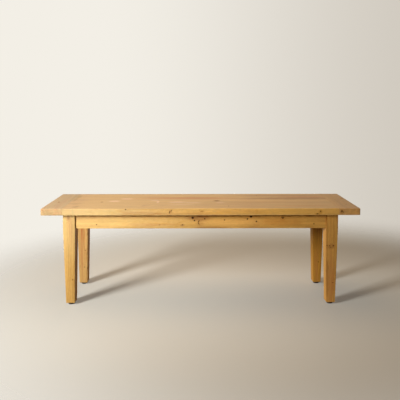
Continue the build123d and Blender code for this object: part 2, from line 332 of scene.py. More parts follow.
def wear(block, hollow, arris_loss):
    """Lets the faces wander inwards by about hollow, and the arrises by about arris_loss."""
    bpy.ops.object.mode_set(mode="OBJECT")
    for name, depth, spread, group in (
        ("planing", hollow, hollow_spread, ""),
        ("wear", arris_loss, arris_wear_spread, "arrises"),
    ):
        pattern = bpy.data.textures.new(name, "CLOUDS")
        pattern.noise_scale = spread
        push = block.modifiers.new(name, "DISPLACE")
        push.texture = pattern
        push.mid_level = wear_level
        push.strength = depth
        push.vertex_group = group
        bpy.ops.object.modifier_apply(modifier=name)


def sink(block, flaws):
    """Cuts rough hollows into a block: nail holes, cracks and the loose hearts of knots.

    Each flaw is its place, its half sizes and its turn, in millimetres and degrees.
    """
    cutters = []
    for place, half_sizes, turn in flaws:
        bpy.ops.mesh.primitive_ico_sphere_add(
            subdivisions=2, location=Vector(place) * mm, scale=Vector(half_sizes) * mm
        )
        cutter = bpy.context.object
        cutter.rotation_euler = [math.radians(angle) for angle in turn]
        cutters.append(cutter)
    bpy.ops.object.select_all(action="DESELECT")
    for cutter in cutters:
        cutter.select_set(True)
    if len(cutters) > 1:
        bpy.ops.object.join()
    bpy.ops.object.transform_apply()
    cutter = bpy.context.object
    bpy.ops.object.mode_set(mode="EDIT")
    bpy.ops.mesh.select_all(action="SELECT")
    bpy.ops.transform.vertex_random(offset=flaw_roughness, uniform=1.0, seed=4)
    bpy.ops.object.mode_set(mode="OBJECT")
    bpy.ops.object.select_all(action="DESELECT")
    block.select_set(True)
    bpy.context.view_layer.objects.active = block
    cut = block.modifiers.new("sink", "BOOLEAN")
    cut.operation = "DIFFERENCE"
    cut.solver = "EXACT"
    cut.object = cutter
    bpy.ops.object.modifier_apply(modifier="sink")
    bpy.data.objects.remove(cutter)


def hand_over(block, material, node):
    """Smooths a finished piece, gives it its material and puts it in place of a CAD node.

    The weighted normals keep its faces flat up to their arrises.
    """
    bpy.ops.object.select_all(action="DESELECT")
    block.select_set(True)
    bpy.context.view_layer.objects.active = block
    bpy.ops.object.shade_smooth_by_angle(angle=smooth_corner)
    flat = block.modifiers.new("flat_faces", "WEIGHTED_NORMAL")
    flat.keep_sharp = True
    bpy.ops.object.modifier_apply(modifier="flat_faces")
    block.data.materials.clear()
    block.data.materials.append(material)
    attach(block, "root")
    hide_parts(node)


# Age shows as dark stains in holes and cracks, and the wood has brown, red and pale patches.
# Brown painted shade darkens the corners under the seat and the leg sides that face away from
# the lamp. Where there is stain or painted shade the wax has gone dull.
stain = "#2b1504"
# Painted shade: the brown laid in the corners under the seat's overhang.
painted_corner_shade = "#743800"
# Painted shade: the brown laid on leg sides that face away from the lamp.
painted_side_shade = "#8f5a10"
dull_stain_and_shade_colours = (stain, painted_corner_shade, painted_side_shade)
brown_stain = "#8a5426"
red_wood = "#a9693e"
deep_red_wood = "#8a6440"
pale_wood = "#d9b999"
faded_wood = "#ba9870"
seam_shade = "#8d7a45"


def distance_from(tree, point, place, reach, turn=(0, 0, 0)):
    """How far a point is from a place, as a share of a reach that is turned by degrees."""
    offset = add_node(
        tree, "ShaderNodeVectorMath", {"operation": "SUBTRACT"}, {0: point, 1: place}
    )
    if any(turn):
        offset = add_node(
            tree,
            "ShaderNodeVectorRotate",
            {"rotation_type": "EULER_XYZ", "invert": True},
            {"Vector": offset, "Rotation": [math.radians(angle) for angle in turn]},
        )
    shares = add_node(
        tree, "ShaderNodeVectorMath", {"operation": "DIVIDE"}, {0: offset, 1: reach}
    )
    far = add_node(tree, "ShaderNodeVectorMath", {"operation": "LENGTH"}, {0: shares})
    return far.outputs["Value"]


# Knotty pine under a honey-coloured wax: yearly rings as darker late wood that ends sharply,
# broad bands of older and younger wood, fine fibres, and a soft sheen.
# grain is the axis that the grain runs along, and the rings are round a line along it through
# heart, tilted by lean. knots lists (place, radius, widths along x, y and z), flaws lists
# (place, half sizes, turn) of the hollows cut into the piece, and marks lists (place, reach,
# colour, strength). Lengths are in millimetres and turns in degrees.
def pine(name, grain, heart, lean, early, late, seed, knots=(), flaws=(), marks=()):
    ring_width = 3.4
    ripple_rings = 0.9
    sway_reach = 26.0
    knot_swell_reach = 4.5
    knot_swell_rings = 3.2
    tree_spacing = 977.0
    ring_spacing = 31.0
    age_depth = 0.34
    knot_raggedness = 0.7
    knot_softness = 0.25
    mark_raggedness = 1.1
    stain_growth = 1.5
    stain_margin = 0.9
    stain_strength = 0.95
    fibre_relief = 0.8
    relief_height = 0.25 * mm
    wax_gloss = 0.3
    material, tree = start_material(name)
    place = add_node(tree, "ShaderNodeTexCoord").outputs["Object"]
    place_mm = add_node(
        tree, "ShaderNodeVectorMath", {"operation": "SCALE"}, {0: place, "Scale": 1 / mm}
    )

    # The board's place in the tree, with the grain along X and the heart at Y and Z zero
    turns = {
        "X": (0, lean, lean),
        "Y": (lean, 0, lean - quarter_turn),
        "Z": (0, lean + quarter_turn, lean),
    }
    heart_in_log = Vector(heart)
    heart_in_log.rotate(Euler(turns[grain]))
    log = add_node(
        tree,
        "ShaderNodeMapping",
        inputs={"Vector": place_mm, "Rotation": turns[grain], "Location": -heart_in_log},
    )
    shifted = add_node(
        tree,
        "ShaderNodeVectorMath",
        {"operation": "ADD"},
        {0: log, 1: (seed * tree_spacing, 0, 0)},
    )

    def noise(length, width, detail):
        """Noise that is length millimetres long in the grain and width across it."""
        spread = add_node(
            tree,
            "ShaderNodeVectorMath",
            {"operation": "MULTIPLY"},
            {0: shifted, 1: (1 / length, 1 / width, 1 / width)},
        )
        return add_node(
            tree,
            "ShaderNodeTexNoise",
            inputs={"Vector": spread, "Scale": 1.0, "Detail": detail, "Roughness": 0.55},
        )

    # The trunk sways and its section is uneven, so the rings wander along the board.
    sway = add_node(
        tree,
        "ShaderNodeVectorMath",
        {"operation": "MULTIPLY_ADD"},
        {
            0: noise(length=520, width=95, detail=2).outputs["Color"],
            1: (0, sway_reach, sway_reach),
            2: (0, -sway_reach / 2, -sway_reach / 2),
        },
    )
    swayed = add_node(tree, "ShaderNodeVectorMath", {"operation": "ADD"}, {0: log, 1: sway})
    across = add_node(
        tree, "ShaderNodeVectorMath", {"operation": "MULTIPLY"}, {0: swayed, 1: (0, 1, 1)}
    )
    radius = add_node(tree, "ShaderNodeVectorMath", {"operation": "LENGTH"}, {0: across})
    rings = add_node(
        tree,
        "ShaderNodeMath",
        {"operation": "DIVIDE"},
        {0: radius.outputs["Value"], 1: ring_width},
    )
    ripple = noise(length=60, width=9, detail=1)
    rings = add_node(
        tree,
        "ShaderNodeMath",
        {"operation": "MULTIPLY_ADD"},
        {0: ripple, 1: ripple_rings, 2: rings},
    )

    # Round a knot the rings bulge outwards.
    knot_distances = []
    for knot_place, knot_radius, branch in knots:
        knot_reach = [knot_radius * width for width in branch]
        knot_distance = distance_from(tree, place_mm, knot_place, knot_reach)
        knot_distances.append(knot_distance)
        bulge = add_node(
            tree,
            "ShaderNodeMapRange",
            {"interpolation_type": "SMOOTHERSTEP"},
            {
                "Value": knot_distance,
                "From Min": 0.0,
                "From Max": knot_swell_reach,
                "To Min": knot_swell_rings,
                "To Max": 0.0,
            },
        )
        rings = add_node(tree, "ShaderNodeMath", {"operation": "ADD"}, {0: rings, 1: bulge})

    # Within a ring the wood darkens slowly and ends sharply. No two rings are alike.
    phase = add_node(tree, "ShaderNodeMath", {"operation": "FRACT"}, {0: rings})
    late_wood = add_node(
        tree,
        "ShaderNodeMapRange",
        {"interpolation_type": "SMOOTHERSTEP"},
        {"Value": phase, "From Min": 0.35, "From Max": 0.95},
    )
    number = add_node(tree, "ShaderNodeMath", {"operation": "FLOOR"}, {0: rings})
    season = add_node(
        tree, "ShaderNodeTexWhiteNoise", {"noise_dimensions": "1D"}, {"W": number}
    )
    strength = add_node(
        tree,
        "ShaderNodeMapRange",
        inputs={"Value": season.outputs["Value"], "To Min": 0.25, "To Max": 0.85},
    )
    late_share = add_node(
        tree, "ShaderNodeMath", {"operation": "MULTIPLY"}, {0: late_wood, 1: strength}
    )
    wood = lay_over(tree, colour(early), late_share, colour(late))

    # Bands a few rings wide, streaks along the grain, and fibres drawn wider than real ones,
    # which are too fine to show
    ring_age = add_node(
        tree, "ShaderNodeMath", {"operation": "ADD"}, {0: rings, 1: seed * ring_spacing}
    )
    age = add_node(
        tree,
        "ShaderNodeTexNoise",
        {"noise_dimensions": "1D"},
        {"W": ring_age, "Scale": 0.16, "Detail": 2.0},
    )
    shade = add_node(
        tree,
        "ShaderNodeMath",
        {"operation": "MULTIPLY_ADD"},
        {0: age, 1: age_depth, 2: 1 - age_depth / 2},
    )
    for length, width, depth in (
        (480, 46, 0.34),
        (260, 15, 0.32),
        (140, 4.0, 0.26),
        (16, 6.5, 0.26),
        (45, 1.1, 0.16),
    ):
        fibres = noise(length, width, detail=2)
        shift = add_node(
            tree,
            "ShaderNodeMath",
            {"operation": "MULTIPLY_ADD"},
            {0: fibres, 1: depth, 2: 1 - depth / 2},
        )
        shade = add_node(tree, "ShaderNodeMath", {"operation": "MULTIPLY"}, {0: shade, 1: shift})
    wood = add_node(
        tree, "ShaderNodeVectorMath", {"operation": "SCALE"}, {0: wood, "Scale": shade}
    )

    # Short dark flecks, redder wood in long flames, and a duller, greyer top, partly wear and
    # partly painted sheen
    fleck = add_node(
        tree,
        "ShaderNodeMapRange",
        {"interpolation_type": "SMOOTHSTEP"},
        {
            "Value": noise(length=9, width=3, detail=1),
            "From Min": 0.66,
            "From Max": 0.8,
            "To Max": 0.5,
        },
    )
    wood = lay_over(tree, wood, fleck, colour("#7a4c1a"))
    flame = add_node(
        tree,
        "ShaderNodeMapRange",
        {"interpolation_type": "SMOOTHSTEP"},
        {
            "Value": noise(length=330, width=24, detail=2),
            "From Min": 0.5,
            "From Max": 0.72,
            "To Max": 0.42,
        },
    )
    wood = lay_over(tree, wood, flame, colour("#a8683a"))
    facing = add_node(
        tree,
        "ShaderNodeSeparateXYZ",
        inputs={"Vector": add_node(tree, "ShaderNodeNewGeometry").outputs["Normal"]},
    )
    # Partly wear and partly painted sheen: every face that looks up is laid paler and greyer.
    worn = add_node(
        tree,
        "ShaderNodeMapRange",
        {"interpolation_type": "SMOOTHSTEP"},
        {"Value": facing.outputs["Z"], "From Min": 0.6, "From Max": 1.0, "To Max": 0.38},
    )
    wood = lay_over(tree, wood, worn, colour("#bfaf8e"))

    # Knots: dense dark wood with a darker rim
    blur = noise(length=7, width=5, detail=2)
    for knot_distance in knot_distances:
        edge = add_node(
            tree,
            "ShaderNodeMath",
            {"operation": "MULTIPLY_ADD"},
            {0: blur, 1: knot_raggedness, 2: knot_distance},
        )
        for reach, code, most in (
            (1.75, "#a8702c", 0.7),
            (1.35, "#5b3510", 0.8),
            (1.0, "#855322", 0.7),
        ):
            core = add_node(
                tree,
                "ShaderNodeMapRange",
                {"interpolation_type": "SMOOTHSTEP"},
                {
                    "Value": edge,
                    "From Min": reach - knot_softness,
                    "From Max": reach + knot_softness,
                    "To Min": most,
                    "To Max": 0.0,
                },
            )
            wood = lay_over(tree, wood, core, colour(code))

    # Marks of age, painted shade and painted highlights, and a stain round each hollow that is a
    # little wider than the hollow
    ragged = noise(length=26, width=7, detail=3)
    level_marks = [(*mark, (0, 0, 0)) for mark in marks]
    stains = []
    for flaw_place, half_sizes, turn in flaws:
        stain_reach = [stain_growth * size + stain_margin for size in half_sizes]
        stains.append((flaw_place, stain_reach, stain, stain_strength, turn))
    dullness = 0.0
    for mark_place, reach, code, most, turn in level_marks + stains:
        mark_distance = distance_from(tree, place_mm, mark_place, reach, turn)
        edge = add_node(
            tree,
            "ShaderNodeMath",
            {"operation": "MULTIPLY_ADD"},
            {0: ragged, 1: mark_raggedness, 2: mark_distance},
        )
        inside = add_node(
            tree,
            "ShaderNodeMapRange",
            {"interpolation_type": "SMOOTHSTEP"},
            {"Value": edge, "From Min": 1.0, "From Max": 1.8, "To Min": most, "To Max": 0.0},
        )
        streaked = add_node(
            tree,
            "ShaderNodeVectorMath",
            {"operation": "SCALE"},
            {0: colour(code)[:3], "Scale": shade},
        )
        wood = lay_over(tree, wood, inside, streaked)
        # Stain and painted shade also take away the wax's sheen, so the painted shade stays dark.
        if code in dull_stain_and_shade_colours:
            dullness = add_node(
                tree, "ShaderNodeMath", {"operation": "MAXIMUM"}, {0: dullness, 1: inside}
            )

    # The late wood stands a little proud, and the wax is duller on the soft early wood.
    relief = add_node(
        tree,
        "ShaderNodeMath",
        {"operation": "MULTIPLY_ADD"},
        {0: fibres, 1: fibre_relief, 2: late_share},
    )
    bump = add_node(
        tree,
        "ShaderNodeBump",
        inputs={"Height": relief, "Strength": 0.35, "Distance": relief_height},
    )
    roughness = add_node(
        tree,
        "ShaderNodeMapRange",
        inputs={"Value": late_share, "To Min": 0.54, "To Max": 0.46},
    )
    wax_film = add_node(
        tree,
        "ShaderNodeMath",
        {"operation": "MULTIPLY_ADD"},
        {0: dullness, 1: -wax_gloss, 2: wax_gloss},
    )
    surface = add_node(
        tree,
        "ShaderNodeBsdfPrincipled",
        inputs={
            "Base Color": wood,
            "Roughness": roughness,
            "IOR": 1.5,
            "Specular IOR Level": wax_film,
            "Normal": bump,
        },
    )
    add_node(tree, "ShaderNodeOutputMaterial", inputs={"Surface": surface})
    return material


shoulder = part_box("end_board_left")[1].x
seat_front = round(cad_low.y / mm)
seat_top = round(cad_high.z / mm)

# Places are in millimetres. Each board's heart is a point under the seat, so that the rings
# curve across its top, and the lean lets them run out along it.
board_hearts = {"front": (0, -112, 392), "middle": (0, 22, 405), "rear": (0, 118, 385)}
board_leans = {"front": 0.012, "middle": -0.010, "rear": 0.015}
board_knots = {
    "front": (
        ((562, seat_front, 458), 4.4, (1.2, 6, 1.7)),
        ((548, seat_front, 446), 3.0, (3, 6, 1.2)),
        ((5, seat_front, 460), 2.4, (2.4, 6, 1)),
    ),
    "middle": (((82, -5, seat_top), 8.0, (1.6, 0.9, 4)), ((-494, -29, seat_top), 4.0, (1.3, 1, 4))),
    "rear": (),
}
board_flaws = {
    "front": (
        ((-352, seat_front, 468.5), (1.6, 3.0, 1.6), (0, 0, 0)),
        ((-138, seat_front, 463), (0.7, 2.0, 3.8), (0, 40, 0)),
        ((-147, seat_front, 456), (0.8, 2.0, 4.2), (0, 8, 0)),
        ((562, seat_front, 459), (1.2, 1.8, 2.2), (0, 6, 0)),
        ((547, seat_front, 447), (0.7, 1.2, 3.2), (0, 58, 0)),
        ((134, -122, seat_top), (2.4, 1.4, 2.2), (0, 0, 20)),
    ),
    "middle": (
        ((82, -5, seat_top), (9.0, 0.8, 1.6), (0, 0, 8)),
        ((-494, -29, seat_top), (2.0, 1.4, 1.6), (0, 0, 0)),
    ),
    "rear": (((300, 118, seat_top), (1.3, 1.3, 3.0), (0, 0, 0)),),
}
board_marks = {
    "front": (
        ((-143, seat_front, 459), (8, 5, 9), brown_stain, 0.55),
        ((-408, seat_front, 455), (5, 5, 3), brown_stain, 0.35),
        ((5, seat_front, 459), (16, 5, 7), brown_stain, 0.3),
        ((262, seat_front, 459), (7, 5, 18), brown_stain, 0.35),
        ((561, seat_front, 457), (11, 5, 13), brown_stain, 0.45),
        ((110, seat_front, 457), (120, 6, 16), "#e6b76c", 0.5),
        ((-599, seat_front, 459), (5, 5, 20), seam_shade, 0.45),
        ((-622, -56, seat_top), (36, 34, 5), "#8a7348", 0.5),
        ((-596, -133, seat_top), (17, 24, 5), "#77623a", 0.5),
        ((-440, seat_front, 456), (110, 5, 11), "#dcb45e", 0.35),
        ((90, seat_front, 452), (70, 5, 6), "#d8a24c", 0.35),
        ((-90, -84, seat_top), (70, 13, 5), pale_wood, 0.35),
        ((482, -119, seat_top), (150, 11, 5), red_wood, 0.30),
        # Painted light on the front edge: paler and greyer to the left, near the lamp, and deeper
        # orange to the right.
        ((-760, -178, 456), (620, 8, 34), "#c9b282", 0.55),
        ((560, -178, 456), (700, 8, 34), "#e7ac4b", 0.55),
        ((-650, -118, seat_top), (90, 70, 5), faded_wood, 0.55),
        # Painted highlights along the bottom arris of the front edge and, to the right, its top
        # arris.
        ((0, seat_front, 440.5), (1300, 5, 3.4), "#f0d08c", 0.5),
        ((250, seat_front, 472.5), (600, 5, 3.4), "#e6b864", 0.5),
    ),
    "middle": (
        ((-434, -12, seat_top), (30, 19, 5), pale_wood, 0.85),
        ((-381, 46, seat_top), (34, 20, 5), pale_wood, 0.6),
        ((-230, 0, seat_top), (24, 15, 5), pale_wood, 0.75),
        ((-213, -32, seat_top), (8, 30, 5), pale_wood, 0.75),
        ((-115, -36, seat_top), (52, 19, 5), pale_wood, 0.65),
        ((-34, -50, seat_top), (40, 18, 5), pale_wood, 0.6),
        ((96, -48, seat_top), (24, 18, 5), pale_wood, 0.55),
        ((-73, 58, seat_top), (270, 26, 5), red_wood, 0.55),
        ((464, 56, seat_top), (300, 30, 5), deep_red_wood, 0.7),
        ((300, -36, seat_top), (200, 16, 5), red_wood, 0.25),
        ((-650, 0, seat_top), (90, 80, 5), faded_wood, 0.55),
        ((-640, 40, seat_top), (8, 60, 5), seam_shade, 0.4),
    ),
    "rear": (
        ((-73, 72, seat_top), (250, 16, 5), red_wood, 0.5),
        ((464, 62, seat_top), (260, 14, 5), deep_red_wood, 0.65),
        ((-650, 118, seat_top), (80, 70, 5), faded_wood, 0.45),
        ((551, 88, seat_top), (150, 18, 5), "#b8744c", 0.45),
        ((420, 124, seat_top), (260, 24, 5), "#9b7352", 0.55),
        ((-640, 96, seat_top), (14, 34, 5), seam_shade, 0.5),
        ((0, 170, seat_top), (900, 7, 6), "#87734a", 0.45),
    ),
}

for seed, side in enumerate(("front", "middle", "rear"), start=1):
    node_low, node_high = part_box("seat_board_" + side)
    low = Vector((shoulder, node_low.y, node_low.z))
    high = Vector((-shoulder, node_high.y, node_high.z))
    board = start_block("long_board_" + side, low, high)
    for axis in range(3):
        cut_lengths(board, axis, wear_step)
    if side != "middle":
        outer = low.y if side == "front" else high.y
        pick_edges(
            board,
            lambda middle, direction: abs(middle.y - outer) < tiny and abs(direction.x) > along,
        )
        round_picked(board, seat_arris)
    pick_edges(board, lambda middle, direction: True)
    round_picked(board, seam_arris, worn=False)
    wear(board, seat_hollow, seat_arris_loss)
    sink(board, board_flaws[side])
    waxed_pine = pine(
        "waxed_pine_" + side + "_board",
        grain="X",
        heart=board_hearts[side],
        lean=board_leans[side],
        early="#caa15e",
        late="#a67234",
        seed=seed,
        knots=board_knots[side],
        flaws=board_flaws[side],
        marks=board_marks[side],
    )
    hand_over(board, waxed_pine, "seat_board_" + side)

# End boards of the seat
# A board of the same pine laid across each end of the seat and locked to the long boards'
# tenons, so its end grain shows in the seat's long edges. Its three outer sides are rounded.
end_hearts = {"left": (-690, 0, 380), "right": (712, 0, 392)}
end_knots = {
    "left": (((-708, -30, seat_top), 5.0, (1, 1.3, 4)),),
    "right": (
        ((662, seat_front, 458), 4.0, (1.5, 6, 1.8)),
        ((731, 45, seat_top), 4.0, (1, 1.5, 4)),
    ),
}
end_flaws = {
    "left": (((-708, -30, seat_top), (0.9, 1.8, 1.4), (0, 0, 10)),),
    "right": (
        ((660, seat_front, 459), (0.6, 1.4, 4.6), (0, 30, 0)),
        ((666, seat_front, 458), (0.6, 1.4, 4.6), (0, -36, 0)),
        ((711, -87, seat_top), (1.6, 1.6, 1.6), (0, 0, 0)),
    ),
}
end_marks = {
    "left": (
        ((-671, seat_front, 452), (22, 5, 6), "#b98a63", 0.5),
        ((-662, 60, seat_top), (8, 90, 5), seam_shade, 0.3),
        ((-700, -178, 456), (110, 8, 40), "#e0bd80", 0.15),
    ),
    "right": (
        ((664, seat_front, 458), (15, 6, 15), brown_stain, 0.45),
        ((731, 45, seat_top), (12, 14, 5), brown_stain, 0.5),
        ((690, 0, 476), (90, 260, 6), "#ab8a52", 0.5),
        ((710, -180, 456), (110, 10, 40), "#e0a95c", 0.5),
    ),
}
end_tones = {"left": ("#b19367", "#8e653b"), "right": ("#c4965d", "#9d6835")}
for seed, side in enumerate(("left", "right"), start=5):
    low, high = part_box("end_board_" + side)
    early, late = end_tones[side]
    board = start_block("end_board_" + side + "_waxed", low, high)
    inner = high.x if side == "left" else low.x
    for axis in range(3):
        cut_lengths(board, axis, wear_step)
    pick_edges(board, lambda middle, direction: abs(middle.x - inner) > tiny)
    round_picked(board, seat_arris)
    pick_edges(board, lambda middle, direction: True)
    round_picked(board, seam_arris, worn=False)
    wear(board, seat_hollow, seat_arris_loss)
    sink(board, end_flaws[side])
    waxed_pine = pine(
        "waxed_pine_" + side + "_end_board",
        grain="Y",
        heart=end_hearts[side],
        lean=0.008,
        early=early,
        late=late,
        seed=seed,
        knots=end_knots[side],
        flaws=end_flaws[side],
        marks=end_marks[side],
    )
    hand_over(board, waxed_pine, "end_board_" + side)

# Legs
# Solid pine, square between the rails and planed to a taper on all four sides below them,
# with rounded arrises and a small chamfer round the foot. One is shaped and then copied.
corners = ("front_left", "front_right", "rear_left", "rear_right")
foot_width = 43 * mm
foot_chamfer = 2 * mm
taper_drop = 4 * mm
leg_arris = 1.6 * mm
leg_hollow = 0.3 * mm
leg_arris_loss = 0.7 * mm
leg_wear_step = 12 * mm

leg_low, leg_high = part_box("leg_front_left")
rail_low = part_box("rail_front")[0]
leg_width = leg_high.x - leg_low.x
leg_middle = (leg_low + leg_high) / 2
square_low = Vector((leg_low.x, leg_low.y, rail_low.z - taper_drop))
leg_blank = start_block("leg_blank", square_low, leg_high)
pick_edges(leg_blank, lambda middle, direction: middle.z < square_low.z + tiny)
width = leg_width
level = square_low.z
for next_level, next_width in (
    (leg_low.z + foot_chamfer, foot_width),
    (leg_low.z, foot_width - 2 * foot_chamfer),
):
    bpy.ops.mesh.extrude_region_move(TRANSFORM_OT_translate={"value": (0, 0, next_level - level)})
    share = next_width / width
    bpy.ops.transform.resize(value=(share, share, 1), center_override=leg_middle)
    level = next_level
    width = next_width
for axis in (2, 0, 1):
    cut_lengths(leg_blank, axis, leg_wear_step)
pick_edges(leg_blank, lambda middle, direction: abs(direction.z) > along)
round_picked(leg_blank, leg_arris)
bpy.ops.object.mode_set(mode="OBJECT")

leg_knots = {
    "front_left": (((-611, -149, 124), 2.4, (1, 8, 1)), ((-626, -149, 428), 5.0, (1, 8, 2.2))),
    "front_right": (
        ((602, -149, 288), 2.0, (1, 8, 1)),
        ((615, -149, 287), 2.4, (1.2, 8, 1)),
        ((632, -149, 287), 2.8, (1.2, 8, 1)),
    ),
    "rear_left": (((-612, 94, 186), 2.2, (1, 8, 1)),),
    "rear_right": (),
}
leg_flaws = {
    "front_left": (((-611, -148, 124), (1.2, 3.0, 1.2), (0, 0, 0)),),
    "front_right": (
        ((602, -149, 289), (1.0, 1.5, 0.9), (0, 0, 0)),
        ((614, -149, 287), (1.2, 1.5, 0.7), (0, 14, 0)),
        ((632, -149, 288), (1.6, 1.5, 0.9), (0, -14, 0)),
        ((620, -149, 279), (1.6, 1.2, 0.5), (0, 20, 0)),
        ((633, -147, 107), (1.1, 3.0, 1.1), (0, 0, 0)),
    ),
    "rear_left": (
        ((-606, 94, 165), (1.2, 3.0, 1.2), (0, 0, 0)),
        ((-602, 98, 90), (1.3, 3.0, 1.3), (0, 0, 0)),
        ((-617, 98, 95), (1.3, 3.0, 1.3), (0, 0, 0)),
    ),
    "rear_right": (((630, 98, 120), (1.2, 3.0, 1.2), (0, 0, 0)),),
}
leg_marks = {
    "front_left": (
        ((-626, -150, 424), (14, 6, 18), brown_stain, 0.45),
        ((-621, -154, 460), (70, 10, 380), "#e0c48c", 0.25),
        ((-621, -150, 20), (70, 12, 300), "#c08a3a", 0.35),
        # Painted shade on the leg side that faces away from the lamp.
        ((-588, -112, 190), (40, 34, 420), painted_side_shade, 0.85),
    ),
    "front_right": (
        ((620, -149, 284), (24, 6, 14), brown_stain, 0.45),
        ((634, -147, 110), (11, 6, 90), "#a8632c", 0.4),
        ((594, -98, 120), (9, 46, 300), "#b4843f", 0.5),
        # Painted shade on the strip beside the rail, under the seat.
        ((592, -150, 412), (8, 9, 60), painted_corner_shade, 0.9),
        ((600, -147, 290), (8, 12, 200), "#8f5f26", 0.6),
        ((605, -143, 110), (8, 12, 160), "#8f5f26", 0.6),
    ),
    "rear_left": (
        ((-628, 93, 285), (5, 6, 90), "#a3521f", 0.6),
        ((-617, 93, 240), (4, 6, 110), "#a8632c", 0.45),
        # Painted shade on the leg side that faces away from the lamp.
        ((-588, 132, 190), (40, 34, 420), painted_side_shade, 0.8),
    ),
    # Painted shade at the top of the leg's front, under the rail and the seat.
    "rear_right": (((624, 94, 340), (30, 8, 60), "#7a4d18", 0.4),),
}
leg_tones = {
    "front_left": ("#c49e59", "#a17035"),
    "front_right": ("#cf9a49", "#aa6b2b"),
    "rear_left": ("#bc9457", "#9a6933"),
    "rear_right": ("#ad7c2a", "#8e5716"),
}
leg_heart_offset = Vector((34, 52, 0))
for seed, corner in enumerate(corners, start=8):
    early, late = leg_tones[corner]
    node_low, node_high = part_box("leg_" + corner)
    node_middle = (node_low + node_high) / 2
    bpy.ops.object.select_all(action="DESELECT")
    leg_blank.select_set(True)
    bpy.context.view_layer.objects.active = leg_blank
    bpy.ops.object.duplicate()
    leg = bpy.context.object
    bpy.ops.transform.translate(value=node_middle - leg_middle)
    bpy.ops.object.transform_apply()
    leg.name = "tapered_leg_" + corner
    leg.data.name = leg.name
    bpy.ops.object.mode_set(mode="EDIT")
    wear(leg, leg_hollow, leg_arris_loss)
    sink(leg, leg_flaws[corner])
    waxed_pine = pine(
        "waxed_pine_leg_" + corner,
        grain="Z",
        heart=node_middle / mm + leg_heart_offset,
        lean=0.01,
        early=early,
        late=late,
        seed=seed,
        knots=leg_knots[corner],
        flaws=leg_flaws[corner],
        marks=leg_marks[corner],
    )
    hand_over(leg, waxed_pine, "leg_" + corner)
bpy.data.objects.remove(leg_blank)

# Rails
# Pine boards on edge, tenoned into the legs a little behind the legs' outer faces. Their
# bottom arrises are rounded. The front one has small knots and nail holes.
rail_arris = 2 * mm
rail_hollow = 0.3 * mm
rail_arris_loss = 0.6 * mm
rail_face = round(rail_low.y / mm)
rail_knots = {
    "front": (
        ((-38, rail_face, 421), 4.0, (1.2, 6, 1)),
        ((19, rail_face, 415), 2.2, (1, 6, 1)),
        ((239, rail_face, 426), 3.4, (1.2, 6, 1)),
        ((391, rail_face, 420), 4.6, (1, 6, 1.2)),
        ((265, rail_face, 403), 2.6, (1, 6, 1)),
    ),
    "rear": (((-260, -rail_face, 400), 5.0, (1, 6, 1)),),
    "left": (),
    "right": (),
}
rail_flaws = {
    "front": (
        ((-38, rail_face, 422), (3.6, 2.6, 3.0), (0, 0, 0)),
        ((-30, rail_face, 409), (2.2, 2.4, 1.8), (0, 0, 0)),
        ((-10, rail_face, 404), (0.9, 2.0, 5.0), (0, 24, 0)),
        ((-10, rail_face, 394), (0.9, 2.0, 4.6), (0, -36, 0)),
        ((19, rail_face, 417), (1.8, 2.4, 1.6), (0, 0, 0)),
        ((113, rail_face, 411), (1.8, 2.4, 1.8), (0, 0, 0)),
        ((222, rail_face, 416), (1.6, 2.4, 2.8), (0, 30, 0)),
        ((239, rail_face, 427), (4.0, 3.0, 3.2), (0, 0, 0)),
        ((265, rail_face, 404), (1.7, 2.4, 1.7), (0, 0, 0)),
        ((388, rail_face, 421), (0.8, 1.8, 3.4), (0, -38, 0)),
        ((394, rail_face, 421), (0.8, 1.8, 3.4), (0, 38, 0)),
        ((539, rail_face, 392), (1.4, 2.4, 1.4), (0, 0, 0)),
        ((-495, rail_face, 390), (1.2, 2.2, 1.2), (0, 0, 0)),
        ((-87, rail_face, 388), (1.4, 1.8, 0.9), (0, 0, 0)),
    ),
    "rear": (((-260, -rail_face, 400), (3.0, 2.0, 0.9), (0, 20, 0)),),
    "left": (((-647.5, 30, 395), (2.0, 1.3, 1.3), (0, 0, 0)),),
    "right": (((647.5, -20, 402), (2.0, 1.2, 1.2), (0, 0, 0)),),
}
rail_marks = {
    "front": (
        ((-6, rail_face, 419), (66, 6, 15), "#8a4f24", 0.6),
        ((-2, rail_face, 396), (22, 6, 18), brown_stain, 0.35),
        ((391, rail_face, 419), (15, 6, 12), brown_stain, 0.5),
        ((265, rail_face, 394), (20, 6, 16), brown_stain, 0.35),
        ((-87, rail_face, 387), (12, 6, 7), brown_stain, 0.5),
        ((345, rail_face, 402), (70, 6, 20), "#b8692a", 0.4),
        ((428, rail_face, 404), (60, 6, 18), "#b3662a", 0.35),
        # Painted shade just under the seat's front edge.
        ((-8, rail_face, 436), (120, 6, 7), "#5a2c08", 0.6),
        ((458, rail_face, 392), (26, 6, 20), brown_stain, 0.25),
        ((47, rail_face, 373), (90, 8, 7), brown_stain, 0.55),
        ((262, rail_face, 373), (80, 8, 7), brown_stain, 0.5),
        ((520, rail_face, 376), (24, 8, 9), brown_stain, 0.4),
        ((-380, rail_face, 405), (170, 6, 16), "#d9b05c", 0.3),
        # Painted light along the rail: paler to the left, near the lamp, and deeper orange to the
        # right.
        ((-680, -148, 405), (700, 9, 90), "#e6ca90", 0.3),
        ((560, -148, 405), (560, 9, 90), "#c28b39", 0.5),
        # Painted shade in the corner under the seat's overhang.
        ((0, rail_face, 441), (1300, 6, 15), painted_corner_shade, 0.72),
        ((150, rail_face, 398), (170, 6, 24), "#e3ac5e", 0.45),
        ((-196, rail_face, 389), (5, 5, 4), brown_stain, 0.5),
    ),
    "rear": (((-258, -rail_face, 400), (14, 6, 8), brown_stain, 0.5),),
    "left": (),
    "right": (),
}
rail_hearts = {
    "front": (0, -190, 330),
    "rear": (0, 196, 470),
    "left": (-700, 0, 340),
    "right": (690, 0, 350),
}
